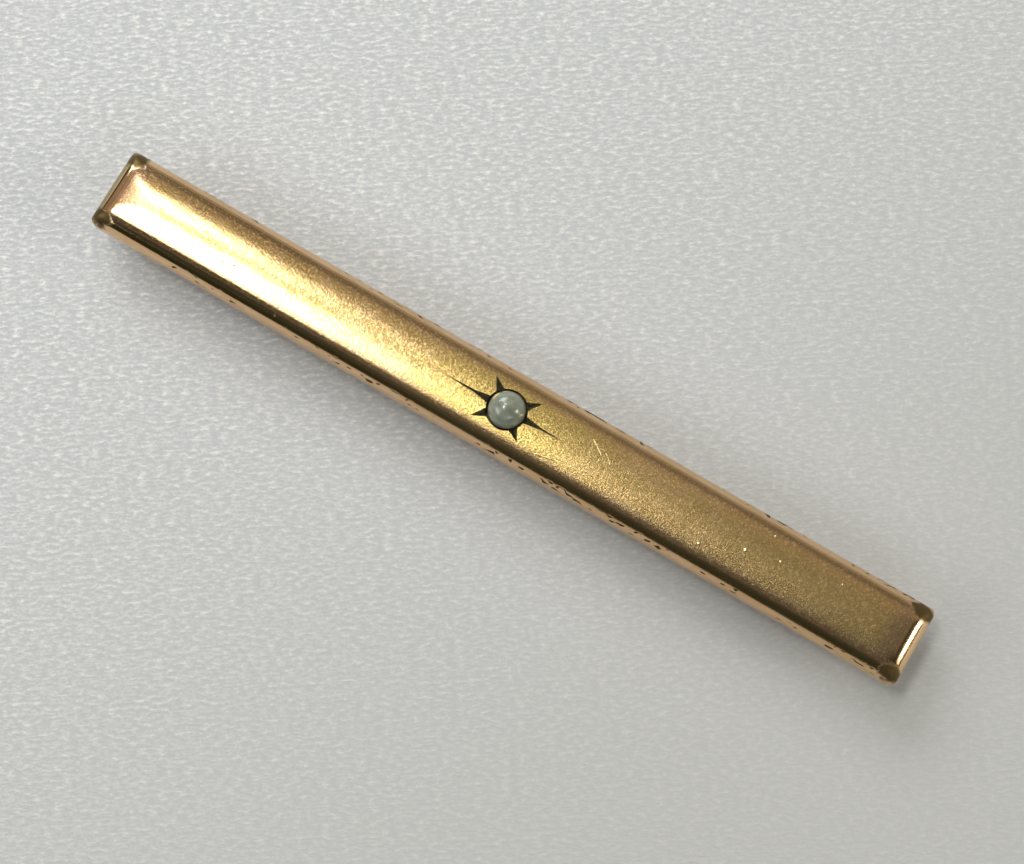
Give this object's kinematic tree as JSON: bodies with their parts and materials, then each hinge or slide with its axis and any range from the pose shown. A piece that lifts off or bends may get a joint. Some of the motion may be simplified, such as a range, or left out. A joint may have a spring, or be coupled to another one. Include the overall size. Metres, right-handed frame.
{
  "type": "bar tie pin",
  "caption": "Slim gold-filled bar with a star-set seed pearl at its middle, worn through cloth on a hinged pin stem held by a rotor safety catch behind it.",
  "frame": {"origin": "under the middle of the bar, level with the feet of the joint and the catch", "axes": "+X along the bar from the joint to the catch, +Y across the bar, +Z out through the face that shows"},
  "size_m": [0.05, 0.0046, 0.0044],
  "materials": {
    "gold_satin": "satin, stippled face with bright edges",
    "gold_bright": "polished",
    "gold_inside": "dull, unpolished",
    "pearl": "nacre, soft lustre",
    "cement": "matte"
  },
  "bodies": {
    "bar": {"front_shell": "gold_satin", "back_plate": "gold_bright", "pearl_cup": "gold_inside", "pearl_cement": "cement", "pearl": "pearl", "joint_pad": "gold_bright", "pin_joint": "gold_bright", "joint_rivet": "gold_bright", "catch_pad": "gold_bright", "catch_housing": "gold_bright"},
    "pin": {"pin_hub": "gold_bright", "pin_stem": "gold_bright"},
    "rotor": {"catch_rotor": "gold_bright"}
  },
  "joints": [
    {"name": "pin_hinge", "type": "hinge", "parent": "bar", "child": "pin", "pos_m": [-0.0195, 0, 0.0008], "axis": [0, 1, 0], "range_deg": [0, 105]},
    {"name": "catch_rotor_turn", "type": "hinge", "parent": "bar", "child": "rotor", "pos_m": [0.0184, 0, 0.0008], "axis": [-1, 0, 0], "range_deg": [0, 80]}
  ]
}
